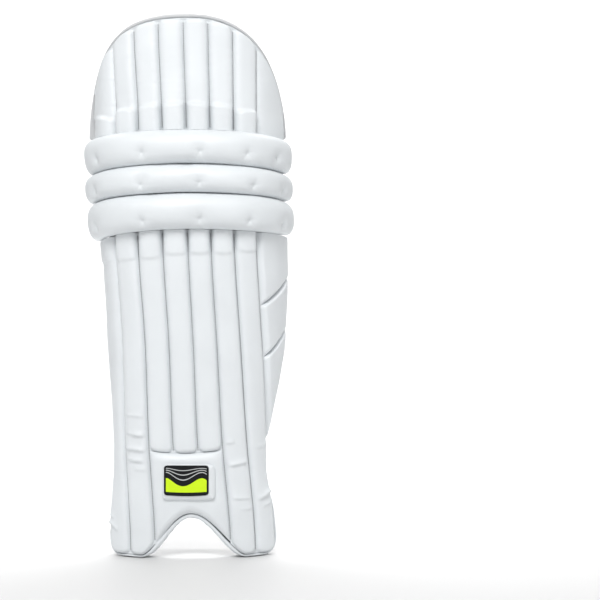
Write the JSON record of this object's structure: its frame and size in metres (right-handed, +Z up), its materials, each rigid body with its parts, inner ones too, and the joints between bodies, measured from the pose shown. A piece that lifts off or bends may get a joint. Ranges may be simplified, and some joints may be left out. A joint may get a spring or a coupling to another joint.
{
  "type": "batting pad",
  "caption": "White padded leg guard with upright stuffed channels, knee rolls, a bevelled side wing, an arched instep and plain straps behind.",
  "frame": {"origin": "middle of the base, on the surface that the two foot lobes stand on", "axes": "+Z up the leg, -Y the front that faces the ball, +X the side with the wing"},
  "size_m": [0.273, 0.1812, 0.697],
  "materials": {
    "white_leather": "smooth white coated leather with a soft sheen",
    "lining": "plain white woven lining",
    "grey_binding": "pale grey coated binding tape",
    "patch": "black printed patch with bright yellow-green and pale grey motifs",
    "webbing": "white woven strap"
  },
  "bodies": {
    "root": {"back_pad": "lining", "top_flute_1": "white_leather", "top_flute_2": "white_leather", "top_flute_3": "white_leather", "top_flute_4": "white_leather", "top_flute_5": "white_leather", "top_flute_6": "white_leather", "top_flute_7": "white_leather", "top_side_panel": "white_leather", "shin_flute_1": "white_leather", "shin_flute_2": "white_leather", "shin_flute_3": "white_leather", "shin_flute_4": "white_leather", "shin_flute_5": "white_leather", "shin_flute_6": "white_leather", "shin_flute_7": "white_leather", "wing_upper": "white_leather", "wing_middle": "white_leather", "wing_lower": "white_leather", "knee_roll_top": "white_leather", "knee_roll_middle": "white_leather", "knee_roll_bottom": "white_leather", "instep_panel": "white_leather", "label_plinth": "white_leather", "foot_binding": "white_leather", "label": "patch", "top_binding": "grey_binding", "knee_strap": "webbing", "calf_strap": "webbing", "ankle_strap": "webbing"}
  },
  "joints": []
}
